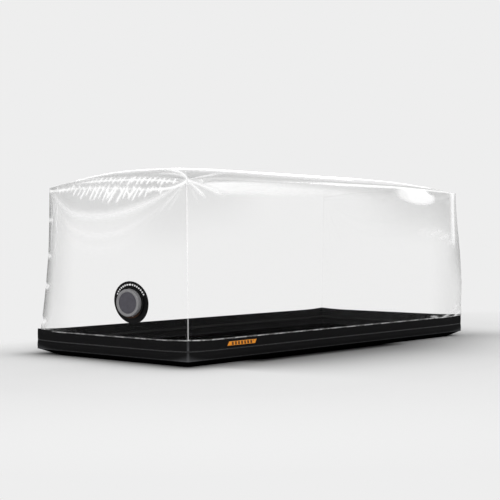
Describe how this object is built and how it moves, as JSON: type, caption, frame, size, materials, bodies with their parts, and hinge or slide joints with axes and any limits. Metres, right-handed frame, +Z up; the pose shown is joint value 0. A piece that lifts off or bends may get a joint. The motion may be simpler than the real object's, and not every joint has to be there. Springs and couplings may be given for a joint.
{
  "type": "car storage bubble",
  "caption": "Clear film canopy on a black tub floor, held up by air from a round fan port, to store a car in.",
  "frame": {"origin": "middle of the floor sheet's underside, on the ground", "axes": "+X along the length from the front, the fan end, to the rear; +Y across from the near long side to the far one; +Z up"},
  "size_m": [5.0927, 2.237, 1.91],
  "materials": {
    "clear_film": "clear flexible film, glossy, faint haze at folds",
    "seam_tape": "welded clear tape, slightly milky",
    "black_vinyl": "black coated vinyl, satin, fine grain",
    "zip": "black zip coil on woven tape, satin",
    "housing": "moulded plastic, satin",
    "rim": "mid-grey moulded plastic, satin",
    "foam": "dark grey open-cell filter foam, matt",
    "patch": "plain orange vinyl patch, satin"
  },
  "bodies": {
    "root": {"floor_sheet": "black_vinyl", "lower_band_near": "black_vinyl", "lower_band_far": "black_vinyl", "lower_band_front": "black_vinyl", "lower_band_rear": "black_vinyl", "upper_band_near": "black_vinyl", "upper_band_far": "black_vinyl", "upper_band_front": "black_vinyl", "upper_band_rear": "black_vinyl", "zip_near": "zip", "zip_far": "zip", "zip_front": "zip", "zip_rear": "zip", "film_near": "clear_film", "film_far": "clear_film", "film_front": "clear_film", "film_rear": "clear_film", "film_roof": "clear_film", "seam_front_near": "seam_tape", "seam_front_far": "seam_tape", "seam_front_roof": "seam_tape", "seam_rear_near": "seam_tape", "seam_rear_far": "seam_tape", "seam_rear_roof": "seam_tape", "port_collar": "black_vinyl", "port_cuff": "black_vinyl", "fan_housing": "housing", "filter_rim": "rim", "filter_foam": "foam", "side_patch": "patch"}
  },
  "joints": []
}
